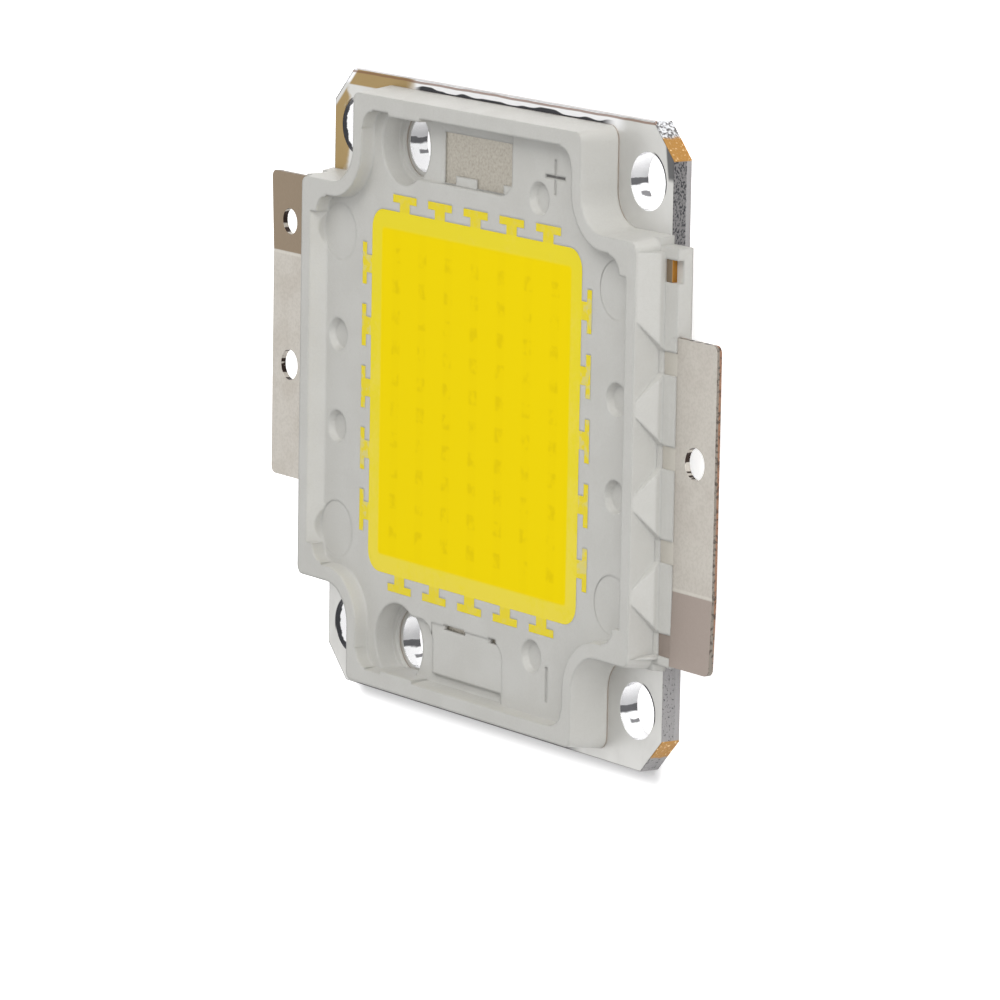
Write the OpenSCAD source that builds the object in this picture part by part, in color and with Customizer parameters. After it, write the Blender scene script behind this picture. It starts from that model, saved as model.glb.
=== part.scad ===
// Chip-on-board LED module lying on its back: the light leaves along +Z.
// The origin is the middle of the back face of the base plate.

/* [Base plate] */
// Width of the base plate along X
plate_w = 37.5; // [36:0.1:39]
// Height of the base plate along Y
plate_h = 40; // [39.6:0.1:44]
// Thickness of the base plate
plate_t = 1.3; // [1:0.05:2]
// Leg of the 45 degree chamfer at each corner
plate_chamfer = 2.15; // [1:0.05:2.6]

/* [Screw holes] */
// Diameter of every screw hole
screw_d = 3.6; // [3:0.1:4]
// Distance of the corner holes from the plate's left and right edges
corner_inset_x = 2.65; // [2.3:0.05:3]
// Distance of the corner holes from the plate's upper and lower edges
corner_inset_y = 3.7; // [3.2:0.05:4]
// X position of the two screw holes that pass through the frame
inner_hole_x = -8.15; // [-8.6:0.05:-7.8]
// Distance of those two holes from the plate's upper and lower edges
inner_inset_y = 4; // [3.7:0.05:4.2]
// Diameter of the well that lets a screw head down through the frame
well_d = 5.1; // [4.8:0.1:5.6]
// Diameter of the well's narrow foot
well_foot_d = 4.2; // [3.9:0.1:4.6]
// Height of the narrow foot above the plate
well_foot_h = 0.3; // [0.2:0.05:0.6]

/* [Frame outline at the rim] */
// Height of the rim above the back of the module
rim_z = 3.9; // [3.7:0.05:4.6]
// Margin of the plate left beside the side blocks at the rim
side_margin = 0.15; // [0.1:0.05:0.6]
// Height of the side blocks
side_h = 26; // [25.8:0.1:26.6]
// Width of the upper and lower arms
arm_w = 25.3; // [24.9:0.1:25.6]
// Margin of the plate left beyond the arms at the rim
arm_margin = 1; // [0.7:0.05:1.2]
// Radius of the round corner cut-outs
cutout_r = 2.5; // [2.2:0.1:2.9]
// How far each outer wall leans out from the rim to its foot
draft = 0.35; // [0.1:0.05:0.4]
// Radius of the outer corners of the arms and the side blocks
corner_r = 0.55; // [0.3:0.05:0.7]

/* [Frame recess] */
// Width of the rim round the recess
rim_w = 0.95; // [0.7:0.05:1.1]
// Depth of the recess floor below the rim
recess_depth = 0.95; // [0.8:0.05:1.1]
// How far the upper and lower recess walls lean in from the rim to the floor
recess_lean = 0.12; // [0.05:0.01:0.3]
// How far the left and right recess walls lean in
recess_side_lean = 0.75; // [0.3:0.05:0.9]
// Radius of the recess's outer corners
recess_r = 1.1; // [0.6:0.1:1.4]

/* [Side shoulders] */
// How far the insulating flanges that carry the tabs reach out past the plate
flange_reach = 1.9; // [1.6:0.05:2.3]
// Height of the flanges along Y
flange_h = 25.6; // [25.4:0.1:25.8]
// How far the flange reaches down past the front of the plate
flange_lip = 0.2; // [0.1:0.05:0.5]
// Height of the shoulders' upper edge below the rim
shoulder_drop = 0.1; // [0.05:0.05:0.4]
// How far the shoulders stand out from the frame's foot
shoulder_out = 0.5; // [0.3:0.05:0.8]
// Height of the shoulders' lower edge above the shelf
shoulder_step = 0.35; // [0.2:0.05:0.5]
// How far a shoulder's end beside a notch leans back
shoulder_lean = 1.8; // [0.8:0.1:1.9]
// Thickness of the plastic shelf over the leads
shelf_t = 0.08; // [0.05:0.01:0.15]

/* [Leads] */
// Thickness of the lead sheet
lead_t = 0.35; // [0.25:0.05:0.4]
// Gap between the base plate and the underside of the leads
lead_gap = 0.47; // [0.4:0.01:0.6]
// How far a tab reaches out past its flange
tab_reach = 4.05; // [3.6:0.05:7]
// Length of a tab along Y
tab_len = 20.05; // [19.6:0.05:20.3]
// Upper end of the cathode tab
tab_top = 7.4; // [7.1:0.1:7.7]
// Radius of the outer corners of a tab
tab_corner_r = 0.45; // [0.2:0.05:0.8]
// Distance of the tab's first finger from the end of the tab
first_finger = 1.65; // [1.4:0.05:1.9]
// Distance of its last finger from the other end
last_finger = 1.15; // [1:0.05:1.4]
// Width of a finger and of the notch that bares it
finger_w = 1.4; // [1.1:0.05:1.6]
// How far the cut ends of the tie bars stand out past the plate
tie_reach = 1.2; // [0.9:0.05:1.5]
// Width of a tie bar
tie_w = 1.4; // [1:0.05:1.6]
// Distance of a tie bar from the middle line
tie_y = 11.35; // [11.2:0.01:11.45]
// Distance of the lead rails from the outer face of the frame
rail_cover = 1.6; // [1.2:0.1:2]
// Width of the lead rails
rail_w = 2; // [1.4:0.1:2.2]
// Outer edge of the lead buses
bus_out = 12.7; // [12.5:0.05:12.85]
// Width of the bare bonding strip inside the cavity
bond_strip = 0.65; // [0.5:0.05:0.7]
// Angle at which the free end of a tab is bent up
tab_bend = 2; // [1:0.5:3]
// Length of the bent end of the anode tab
anode_end = 5.25; // [5:0.05:6]
// Length of the bent end of the cathode tab
cathode_end = 4.65; // [4:0.1:5.2]
// Diameter of the solder holes
solder_d = 2; // [1.6:0.1:2.2]
// Diameter of the small locating hole at the end of the anode tab
locating_d = 1.7; // [1.4:0.1:1.9]
// Distance of the solder holes from the outer edge of the tab
solder_inset = 2.05; // [1.8:0.05:2.3]
// Distance of the locating hole from the solder hole
locating_y = 9.45; // [9:0.05:9.8]

/* [Contact pads] */
// Width of the raised pad of each lead
pad_w = 8.6; // [8.2:0.1:9]
// Distance of the raised pads from the outer face of the frame
pad_cover = 1.4; // [1.1:0.05:1.5]
// Height by which the pads are raised above the leads
pad_rise = 0.45; // [0.4:0.01:0.5]
// Width of the window over the anode pad
window_w = 7.9; // [7.4:0.1:8.1]
// Distance of the window from the lead's bus
window_gap = 1.4; // [1.3:0.05:1.6]
// Distance of the window from the outer face of the frame
window_cover = 1.7; // [1.65:0.05:2]
// Size of the two plastic feet on the window's inner edge, and of its round corner
window_foot = 0.55; // [0.4:0.05:0.7]
// Depth of the blind panel over the cathode pad
panel_depth = 0.07; // [0.03:0.01:0.15]
// Depth of the bays that join the wells to the window and to the panel
bay_depth = 0.3; // [0.15:0.01:0.3]
// Radius of the bays' round corner
bay_r = 1.3; // [0.8:0.1:1.5]
// Width of the groove beyond the panel
groove_w = 0.65; // [0.4:0.05:0.75]
// Width of the two slots beside the panel that bare the metal
slot_w = 0.35; // [0.25:0.05:0.5]
// Width of the bosses beside the wells
boss_w = 3.6; // [2.8:0.1:3.8]
// How far the bosses stand in from the recess wall
boss_out = 0.1; // [0.05:0.05:0.15]

/* [Emitter] */
// Inner width of the cavity that holds the dies
cavity_w = 21.1; // [20.9:0.1:21.4]
// Width over the shallow ledge round the cavity
ledge_w = 23.4; // [23:0.1:23.6]
// Depth of the ledge below the recess floor
ledge_depth = 0.14; // [0.1:0.01:0.3]
// Corner radius of the ledge
ledge_corner_r = 1.3; // [0.8:0.1:1.6]
// Number of locking keys on each side
key_count = 5; // [3:1:5]
// Pitch of the locking keys
key_pitch = 4; // [3.8:0.05:4.2]
// Width of a key's head
key_head_w = 2.7; // [2.2:0.1:3]
// Thickness of a key's head
key_head_t = 0.5; // [0.4:0.05:0.6]
// Width of a key's stem
key_stem_w = 1.15; // [0.8:0.05:1.4]
// Distance of a key's head beyond the ledge
key_reach = 0.58; // [0.4:0.01:0.8]
// Depth of the keys below the recess floor
key_depth = 0.35; // [0.3:0.05:0.5]

/* [Dies and wires] */
// Number of die strings side by side
string_count = 7; // [5:1:7]
// Pitch of the strings along X
string_pitch = 2.95; // [2.6:0.05:3]
// Number of dies in a string
die_count = 10; // [6:1:10]
// Pitch of the dies along Y
die_pitch = 1.98; // [1.9:0.01:2]
// Edge of a die
die_w = 0.9; // [0.7:0.05:1]
// Thickness of a die
die_t = 0.15; // [0.1:0.01:0.2]
// Thickness of the bond wire
wire_d = 0.05; // [0.04:0.01:0.06]
// Rise of a wire loop above the die
loop_rise = 0.35; // [0.2:0.05:0.4]

/* [Moulding marks] */
// Diameter of the locating dimples in the recess floor
dimple_d = 2.1; // [1.6:0.1:2.4]
// Depth of the dimples
dimple_depth = 0.4; // [0.2:0.05:0.5]
// Distance of the side dimples from the outer face of the frame
dimple_inset = 3.05; // [2.9:0.05:3.2]
// Distance of the side dimples from the middle line
dimple_y = 3; // [2.6:0.1:3.4]
// X position of the upper and lower dimples
dimple_x = 6.95; // [6.6:0.05:7.2]
// Diameter of the ejector pin marks
ejector_d = 3.7; // [3:0.1:4]
// Depth of the ejector pin marks
ejector_depth = 0.05; // [0.03:0.01:0.08]
// Length of the strokes of the plus and minus signs
sign_len = 2.2; // [1.6:0.1:2.4]
// Width of those strokes
sign_w = 0.25; // [0.2:0.05:0.4]
// Depth of the signs
sign_depth = 0.12; // [0.05:0.01:0.2]
// Distance of the signs from the outer face of the arm along X
sign_inset_x = 4; // [3.6:0.1:4.2]
// Distance of the signs from the outer face of the arm along Y
sign_inset_y = 3.2; // [3:0.1:3.4]

/* [Hidden] */
$fn = 48;
// Overshoot of a cutting shape past the face that it opens
over = 1;
// Overlap of two shapes that are joined into one piece
lap = 0.2;
arc_steps = 8;

floor_z = rim_z - recess_depth;
lead_z = plate_t + lead_gap;
lead_top = lead_z + lead_t;
pad_top = lead_top + pad_rise;
plate_x = plate_w / 2;
plate_y = plate_h / 2;
side_x = plate_x - side_margin;
side_y = side_h / 2;
arm_x = arm_w / 2;
arm_y = plate_y - arm_margin;
flange_x = plate_x + flange_reach;
flange_y = flange_h / 2;
tab_x = flange_x + tab_reach;
tie_x = plate_x + tie_reach;
solder_x = tab_x - solder_inset;
rail_out = side_x - rail_cover;
pad_out = arm_y - pad_cover;
window_in = bus_out + window_gap;
window_out = arm_y - window_cover;
shelf_top = lead_top + shelf_t;
step_x = side_x + draft + shoulder_out - shelf_t;
recess_y = arm_y - rim_w - recess_lean;
cavity = cavity_w / 2;
ledge = ledge_w / 2;
bond_y = cavity - bond_strip;
die_top = plate_t + die_t;
// Fingers of the cathode lead, from the upper one to the lower one
finger_pitch = (tab_len - first_finger - last_finger) / 3;
fingers = [for (i = [0 : 3]) tab_top - first_finger - i * finger_pitch];
corner_holes = [for (x = [-1, 1], y = [-1, 1])
    [x * (plate_x - corner_inset_x), y * (plate_y - corner_inset_y)]];
inner_holes = [for (y = [-1, 1]) [inner_hole_x, y * (plate_y - inner_inset_y)]];
dimples = concat(
    [for (x = [-1, 1], y = [-1, 1]) [x * (side_x - dimple_inset), y * dimple_y]],
    [for (y = [-1, 1]) [dimple_x, y * (window_in + dimple_d / 10)]]);
ejector_marks = [for (x = [-1, 1], y = [-1, 1])
    [x * (side_x - dimple_inset - dimple_d / 20), y * (flange_y - ejector_d * 0.84)]];

// Points on an arc about a centre
function arc(centre, r, from, to) =
    [for (i = [0 : arc_steps]) let (a = from + (to - from) * i / arc_steps)
        centre + r * [cos(a), sin(a)]];

function backwards(list) = [for (i = [len(list) - 1 : -1 : 0]) list[i]];

// Block between two corners
module block(low, high) {
    translate(low) cube(high - low);
}

// Plate with a rounded outline, centred on Z
module rounded_slab(w, h, r, z_low, z_high) {
    translate([0, 0, z_low]) linear_extrude(z_high - z_low)
        polygon(concat(
            arc([w / 2 - r, h / 2 - r], r, 0, 90),
            arc([r - w / 2, h / 2 - r], r, 90, 180),
            arc([r - w / 2, r - h / 2], r, 180, 270),
            arc([w / 2 - r, r - h / 2], r, 270, 360)));
}

// Prism along X with its outline given as [y, z] points
module prism_x(outline, x_low, x_high) {
    translate([x_low, 0, 0]) rotate([90, 0, 90]) linear_extrude(x_high - x_low) polygon(outline);
}

// Prism along Y with its outline given as [x, z] points
module prism_y(outline, y_low, y_high) {
    translate([0, y_high, 0]) rotate([90, 0, 0]) linear_extrude(y_high - y_low) polygon(outline);
}

module holes(places, d, z_low, z_high) {
    for (p = places) translate([p.x, p.y, z_low]) cylinder(d = d, h = z_high - z_low);
}

// ---- Base plate ----
module base_plate() {
    x = plate_x;
    y = plate_y;
    c = plate_chamfer;
    color("silver") difference() {
        linear_extrude(plate_t) polygon([
            [x, y - c], [x - c, y], [c - x, y], [-x, y - c],
            [-x, c - y], [c - x, -y], [x - c, -y], [x, c - y]]);
        holes(concat(corner_holes, inner_holes), screw_d, -over, plate_t + over);
    }
}

// ---- Leads ----
// Sheet of a tab with its free end bent up; the tab lies on the +X side
module tab_sheet(end_len, y_high) {
    y_low = y_high - tab_len;
    bend_y = y_low + end_len;
    rise = end_len * tan(tab_bend);
    prism_x([
        [y_high, lead_z], [bend_y, lead_z], [y_low, lead_z + rise],
        [y_low, lead_top + rise], [bend_y, lead_top], [y_high, lead_top]],
        flange_x, tab_x);
}

// Outline that rounds the outer corners of a tab
module tab_outline(y_high) {
    r = tab_corner_r;
    y_low = y_high - tab_len;
    translate([0, 0, lead_z - over]) linear_extrude(lead_t + 2 * over) polygon(concat(
        [[flange_x - over, y_high], [flange_x - over, y_low]],
        arc([tab_x - r, y_low + r], r, 270, 360),
        arc([tab_x - r, y_high - r], r, 0, 90)));
}

// Raised pad and the joggle that joins it to the bus
module lead_pad() {
    bend = bus_out + pad_rise * 2;
    prism_x([
        [-bus_out + lap, lead_z], [-bus_out, lead_z],
        [-bend, lead_z + pad_rise], [-pad_out, lead_z + pad_rise],
        [-pad_out, pad_top], [-bend + lead_t / 2, pad_top],
        [-bus_out + lead_t / 2, lead_top], [-bus_out + lap, lead_top]],
        -pad_w / 2, pad_w / 2);
}

// Sheet-metal lead with its tab on the +X side and its bus along the -Y side
module lead(end_len, tab_holes) {
    difference() {
        union() {
            intersection() {
                tab_sheet(end_len, tab_top);
                tab_outline(tab_top);
            }
            block([flange_x - 3 * lap, tab_top - tab_len, lead_z], [flange_x, tab_top, lead_top]);
            for (y = fingers)
                block([rail_out - lap, y - finger_w / 2, lead_z],
                      [flange_x - lap, y + finger_w / 2, lead_top]);
            block([rail_out - rail_w, -bus_out, lead_z],
                  [rail_out, fingers[0] + finger_w / 2, lead_top]);
            block([-rail_out, -bus_out, lead_z], [rail_out - rail_w + lap, -cavity, lead_top]);
            block([-cavity, -cavity - lap, lead_z], [cavity, -bond_y, lead_top]);
            block([-tie_x, -tie_y - tie_w / 2, lead_z],
                  [lap - rail_out, -tie_y + tie_w / 2, lead_top]);
            lead_pad();
        }
        for (h = tab_holes)
            translate([h.x, h.y, lead_z - over]) cylinder(d = h.z, h = lead_t + 2 * over);
    }
}

module anode_lead() {
    color("tan") rotate([0, 0, 180])
        lead(anode_end, [[solder_x, 0, solder_d], [solder_x, -locating_y, locating_d]]);
}

module cathode_lead() {
    color("tan") lead(cathode_end, [[solder_x, 0, solder_d]]);
}

// ---- Emitter ----
// Space that the silicone fills: cavity, ledge and locking keys
module silicone_space(top) {
    block([-cavity, -bond_y, plate_t], [cavity, bond_y, top]);
    block([-cavity, -cavity, lead_top], [cavity, cavity, top]);
    rounded_slab(ledge_w, ledge_w, ledge_corner_r, floor_z - ledge_depth, top);
    for (turn = [0 : 90 : 270]) rotate([0, 0, turn]) keys(top);
}

// The row of T-shaped keys along the +Y side
module keys(top) {
    head_y = ledge + key_reach;
    low = floor_z - key_depth;
    for (i = [0 : key_count - 1]) {
        x = (i - (key_count - 1) / 2) * key_pitch;
        block([x - key_stem_w / 2, ledge - lap, low],
              [x + key_stem_w / 2, head_y + lap, top]);
        block([x - key_head_w / 2, head_y, low],
              [x + key_head_w / 2, head_y + key_head_t, top]);
    }
}

function string_x(i) = (i - (string_count - 1) / 2) * string_pitch;
function die_y(i) = ((die_count - 1) / 2 - i) * die_pitch;

module dies(x) {
    for (i = [0 : die_count - 1])
        block([x - die_w / 2, die_y(i) - die_w / 2, plate_t],
              [x + die_w / 2, die_y(i) + die_w / 2, die_top]);
}

module die_string(number) {
    color("steelblue") dies(string_x(number - 1));
}

// Middle line of a wire loop between two [y, z] feet
function loop_point(a, b, s) = [
    a.x + (b.x - a.x) * (1 - cos(180 * s)) / 2,
    a.y + (b.y - a.y) * s + loop_rise * sin(180 * s)];

function loop_normal(a, b, s) = let (
    tangent = [(b.x - a.x) * sin(180 * s) * 90, (b.y - a.y) * 180 / PI + loop_rise * 180 * cos(180 * s)])
    [tangent.y, -tangent.x] / norm(tangent);

// One wire between two [y, z] feet, each foot standing flat on its pad
module wire(a, b, x) {
    steps = arc_steps;
    side = [for (k = [1, -1]) [for (i = [0 : steps]) let (s = i / steps)
        loop_point(a, b, s) + k * wire_d / 2 * loop_normal(a, b, s)]];
    prism_x(concat(side[0], backwards(side[1])), x - wire_d / 2, x + wire_d / 2);
}

// All the wires of a string, from the anode strip down to the cathode strip
module bond_wires(number) {
    x = string_x(number - 1);
    foot = die_w / 4;
    strip_y = cavity - bond_strip / 2;
    color("goldenrod") {
        wire([strip_y, lead_top], [die_y(0) + foot, die_top], x);
        for (i = [0 : die_count - 2])
            wire([die_y(i) - foot, die_top], [die_y(i + 1) + foot, die_top], x);
        wire([die_y(die_count - 1) - foot, die_top], [-strip_y, lead_top], x);
    }
}

// Slit in the silicone that a string's wires fill from side to side
module wire_slit(x) {
    block([x - wire_d / 2, -cavity + wire_d, die_top],
          [x + wire_d / 2, cavity - wire_d, lead_top + 1.3 * loop_rise]);
}

module phosphor() {
    color("gold") difference() {
        silicone_space(floor_z);
        for (i = [0 : string_count - 1]) {
            dies(string_x(i));
            wire_slit(string_x(i));
        }
    }
}

// ---- Frame ----
// Block with leaning sides: half sizes x and y, each grown by [x, y] at its foot and at its top
module leaning_block(x, y, low, z_low, high, z_high) {
    intersection() {
        prism_y([
            [-x - low.x, z_low], [x + low.x, z_low], [x + high.x, z_high], [-x - high.x, z_high]],
            -y - over, y + over);
        prism_x([
            [-y - low.y, z_low], [y + low.y, z_low], [y + high.y, z_high], [-y - high.y, z_high]],
            -x - over, x + over);
    }
}

// Cross-shaped solid between two levels, its outline grown by low at the foot and by high at the top;
// the far left and right walls grow by side_low and side_high instead
module cross_solid(low, side_low, z_low, high, side_high, z_high) {
    leaning_block(side_x, side_y, [side_low, low], z_low, [side_high, high], z_high);
    leaning_block(arm_x, arm_y, [low, low], z_low, [high, high], z_high);
    for (sx = [0, 1], sy = [0, 1]) mirror([sx, 0, 0]) mirror([0, sy, 0])
        inner_round(min(low, high) - lap, low, z_low, high, z_high);
}

// Material that rounds one inner corner of the cross
module inner_round(start, low, z_low, high, z_high) {
    x = arm_x + cutout_r;
    y = side_y + cutout_r;
    difference() {
        block([arm_x + start, side_y + start, z_low], [x, y, z_high]);
        translate([x, y, z_low]) cylinder(r1 = cutout_r - low, r2 = cutout_r - high, h = z_high - z_low);
    }
}

// Material to cut away round one outer corner of the frame, above a level
module outer_round(x, y, z_low) {
    lean = draft * (rim_z - z_low) / (rim_z - plate_t);
    difference() {
        block([x - corner_r, y - corner_r, z_low], [x + over, y + over, rim_z + over]);
        translate([x - corner_r, y - corner_r, z_low])
            cylinder(r1 = corner_r + lean, r2 = corner_r, h = rim_z - z_low);
    }
}

// Recess with its floor, leaning walls and round corners
module recess() {
    low = -rim_w - recess_lean;
    side_low = -rim_w - recess_side_lean;
    difference() {
        cross_solid(low, side_low, floor_z, 2 * recess_lean + low, 2 * recess_side_lean + side_low,
                    rim_z + recess_depth);
        for (sx = [0, 1], sy = [0, 1]) mirror([sx, 0, 0]) mirror([0, sy, 0]) {
            recess_corner(arm_x + low, recess_y);
            recess_corner(side_x + side_low, side_y + low);
        }
    }
}

// Material left in one outer corner of the recess
module recess_corner(x, y) {
    difference() {
        block([x - recess_r, y - recess_r, floor_z - over], [x + over, y + over, rim_z + 2 * over]);
        translate([x - recess_r, y - recess_r, floor_z - 2 * over])
            cylinder(r = recess_r, h = recess_depth + 5 * over);
    }
}

// Shoulder on the +X side between two places, either end leaning back towards the rim
module shoulder(y_low, y_high, lean_low, lean_high) {
    top = rim_z - shoulder_drop;
    step = shelf_top + shoulder_step;
    intersection() {
        prism_y([
            [side_x - rim_w / 2, lead_top - lap], [step_x, lead_top - lap], [step_x, step],
            [side_x, top], [side_x - rim_w / 2, top]],
            y_low, y_high);
        prism_x([
            [y_low, lead_top - lap], [y_high, lead_top - lap], [y_high, shelf_top],
            [y_high - lean_high, top], [y_low + lean_low, top], [y_low, shelf_top]],
            side_x - over, flange_x + over);
    }
}

// Shelf over the leads on the +X side, narrow beside the notches
module shelf(y_low, y_high) {
    block([side_x - lap, y_low, lead_top - lap], [flange_x, y_high, shelf_top]);
}

// Flange, shelf, shoulders and lip on the +X side
module side_wall() {
    notch = finger_w / 2;
    tops = concat([flange_y], [for (y = fingers) y - notch]);
    feet = concat([for (y = fingers) y + notch], [-flange_y]);
    block([side_x - lap, -flange_y, plate_t], [flange_x, flange_y, lead_top]);
    block([plate_x, -flange_y, plate_t - flange_lip], [flange_x, flange_y, plate_t + lap]);
    block([side_x - lap, -flange_y, lead_top - lap], [step_x, flange_y, shelf_top]);
    for (i = [0 : len(tops) - 1]) {
        lean = min(shoulder_lean, (tops[i] - feet[i]) / 2.3);
        shelf(feet[i], tops[i]);
        shoulder(feet[i], tops[i], i < len(tops) - 1 ? lean : 0, i > 0 ? lean : 0);
    }
}

// Gap in the shelf and the flange that bares the cut end of the tie bar on the +X side
module tie_gap() {
    block([step_x, tie_y - tie_w / 2, lead_z], [flange_x + over, tie_y + tie_w / 2, shelf_top + over]);
}

// Well for a screw head, narrow at its foot and cut off by the recess wall
module well(place) {
    intersection() {
        union() {
            translate([place.x, place.y, plate_t - over])
                cylinder(d = well_foot_d, h = well_foot_h + 2 * over);
            translate([place.x, place.y, plate_t + well_foot_h])
                cylinder(d = well_d, h = recess_depth + rim_z);
        }
        block([place.x - well_d, -recess_y, plate_t - 2 * over],
              [place.x + well_d, recess_y, rim_z + over]);
    }
}

// Boss on the recess wall beside a well; side is 1 for the upper one and -1 for the lower one
module boss(side) {
    x = inner_hole_x - well_d / 10;
    y = recess_y - boss_out;
    mirror([0, side < 0 ? 1 : 0, 0])
        block([x, y, plate_t + well_foot_h], [x + boss_w, arm_y - rim_w / 2, rim_z]);
}

// Shallow bay beside the well with one round corner, between two places along X
module bay(x_low, x_high, y_high, depth) {
    r = bay_r;
    translate([0, 0, floor_z - depth]) linear_extrude(depth + over) polygon(concat(
        [[x_low, y_high], [x_low, window_in - lap / 2]],
        arc([x_high - r, window_in - lap / 2 + r], r, 270, 360),
        [[x_high, y_high]]));
}

// Window over the anode pad, with two small plastic feet left on its inner edge
module window() {
    x = window_w / 2;
    foot = window_foot;
    translate([0, 0, pad_top]) linear_extrude(recess_depth + over) polygon(concat(
        [[-x, window_out], [-x, window_in], [-0.68 * x, window_in], [-0.68 * x, window_in + foot],
         [-0.09 * x, window_in + foot], [-0.09 * x, window_in], [0.66 * x, window_in],
         [0.66 * x, window_in + foot], [x, window_in + foot]],
        arc([x - foot, window_out - foot], foot, 0, 90)));
}

// Blind panel over the cathode pad with a groove beyond it, and two slots down to the metal
module panel() {
    x = window_w / 2;
    y = recess_y - groove_w;
    mirror([0, 1, 0]) {
        bay(inner_hole_x, -x - lap, recess_y, bay_depth);
        bay(-x - lap - 0.1, x - lap, recess_y, panel_depth);
    }
    block([-x - lap, -recess_y, floor_z - bay_depth], [x - 2 * lap, -y, floor_z + over]);
    for (ends = [[-0.73, -0.13], [0.55, 0.76]])
        block([ends[0] * x, -window_in - slot_w / 2, pad_top],
              [ends[1] * x, -window_in + slot_w / 2, floor_z + over]);
}

module dimple(place) {
    translate([place.x, place.y, floor_z - dimple_depth])
        cylinder(d1 = dimple_d - dimple_depth, d2 = dimple_d + 2 * dimple_depth, h = 3 * dimple_depth);
}

// Polarity signs in the recess floor, the plus by the anode's bus
module signs() {
    x = arm_x - sign_inset_x;
    y = arm_y - sign_inset_y;
    z = floor_z - sign_depth;
    for (size = [[sign_len, sign_w], [sign_w, sign_len]])
        translate([x - size.x / 2, y - size.y / 2, z]) cube([size.x, size.y, over]);
    translate([x - sign_w / 2, -y - sign_len / 2, z]) cube([sign_w, sign_len, over]);
}

module frame() {
    color("whitesmoke") difference() {
        union() {
            difference() {
                union() {
                    cross_solid(draft, draft, plate_t, 0, 0, rim_z);
                    for (turn = [0, 180]) rotate([0, 0, turn]) side_wall();
                }
                for (sx = [0, 1], sy = [0, 1]) mirror([sx, 0, 0]) mirror([0, sy, 0]) {
                    outer_round(arm_x, arm_y, plate_t);
                    outer_round(side_x, side_y, shelf_top);
                }
                recess();
                for (p = inner_holes) well(p);
                bay(inner_hole_x, window_w / 2, recess_y, bay_depth);
                panel();
            }
            for (side = [1, -1]) boss(side);
        }
        silicone_space(floor_z + over);
        anode_lead();
        cathode_lead();
        for (turn = [0, 180]) rotate([0, 0, turn]) tie_gap();
        window();
        for (p = dimples) dimple(p);
        holes(ejector_marks, ejector_d, floor_z - ejector_depth, floor_z + over);
        signs();
    }
}

base_plate();
frame();
anode_lead();
cathode_lead();
phosphor();
die_string(1);  // die_string_1
die_string(2);  // die_string_2
die_string(3);  // die_string_3
die_string(4);  // die_string_4
die_string(5);  // die_string_5
die_string(6);  // die_string_6
die_string(7);  // die_string_7
bond_wires(1);  // bond_wires_1
bond_wires(2);  // bond_wires_2
bond_wires(3);  // bond_wires_3
bond_wires(4);  // bond_wires_4
bond_wires(5);  // bond_wires_5
bond_wires(6);  // bond_wires_6
bond_wires(7);  // bond_wires_7
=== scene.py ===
"""Looks of a chip-on-board LED module that lies on its back on a white table."""

import logging
from abc import ABC, abstractmethod
from dataclasses import dataclass, field
from enum import Enum
from functools import cached_property, reduce
from typing import NamedTuple

import bmesh
import bpy
from mathutils import Matrix, Vector


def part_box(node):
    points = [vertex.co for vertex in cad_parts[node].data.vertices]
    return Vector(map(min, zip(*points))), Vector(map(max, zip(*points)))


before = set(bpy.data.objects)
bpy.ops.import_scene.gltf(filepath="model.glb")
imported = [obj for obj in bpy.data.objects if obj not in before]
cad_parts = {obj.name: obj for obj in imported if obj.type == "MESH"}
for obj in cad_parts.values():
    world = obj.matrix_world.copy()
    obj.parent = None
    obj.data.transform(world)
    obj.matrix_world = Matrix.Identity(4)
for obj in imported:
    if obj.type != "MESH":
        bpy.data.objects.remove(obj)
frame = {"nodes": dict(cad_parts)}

LOG = logging.getLogger("cob_led")
MM = 0.001
NOISE_MIDDLE = 0.5

Rgb = tuple[float, float, float]
Span = tuple[float, float]  # where a mask is 0 and where it is 1
Ends = tuple[float, float]  # a value where a mask is 0 and where it is 1
Socket = bpy.types.NodeSocket
Value = Socket | float
Paint = Socket | Rgb
Layer = tuple[Value, Paint]  # a mask and the colour that it lets through

WHITE: Rgb = (1.0, 1.0, 1.0)


# ---------------------------------------------------------------- node trees


def display(red: int, green: int, blue: int) -> Rgb:
    """Linear colour of a display colour.

    Args:
        red: Its red part, from 0 to 255.
        green: Its green part.
        blue: Its blue part.

    Returns:
        The three linear parts, from 0 to 1.
    """

    def linear(part: int) -> float:
        """Linear value of one part, by the usual display curve."""
        share = part / 255
        return share / 12.92 if share <= 0.04045 else ((share + 0.055) / 1.055) ** 2.4

    return linear(red), linear(green), linear(blue)


class Noise(NamedTuple):
    """A noise texture.

    Args:
        scale: Its features to the millimetre.
        detail: How many finer layers it has.
        stretch: How the three parts of the place are scaled for it.
    """

    scale: Value
    detail: float
    stretch: tuple[float, float, float] | None = None


class Stripe(NamedTuple):
    """A stripe across a value.

    Args:
        middle: The value at its middle.
        span: Its border, measured from the middle.
        cover: How much it hides of what is below.
    """

    middle: float
    span: Span
    cover: float


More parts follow.
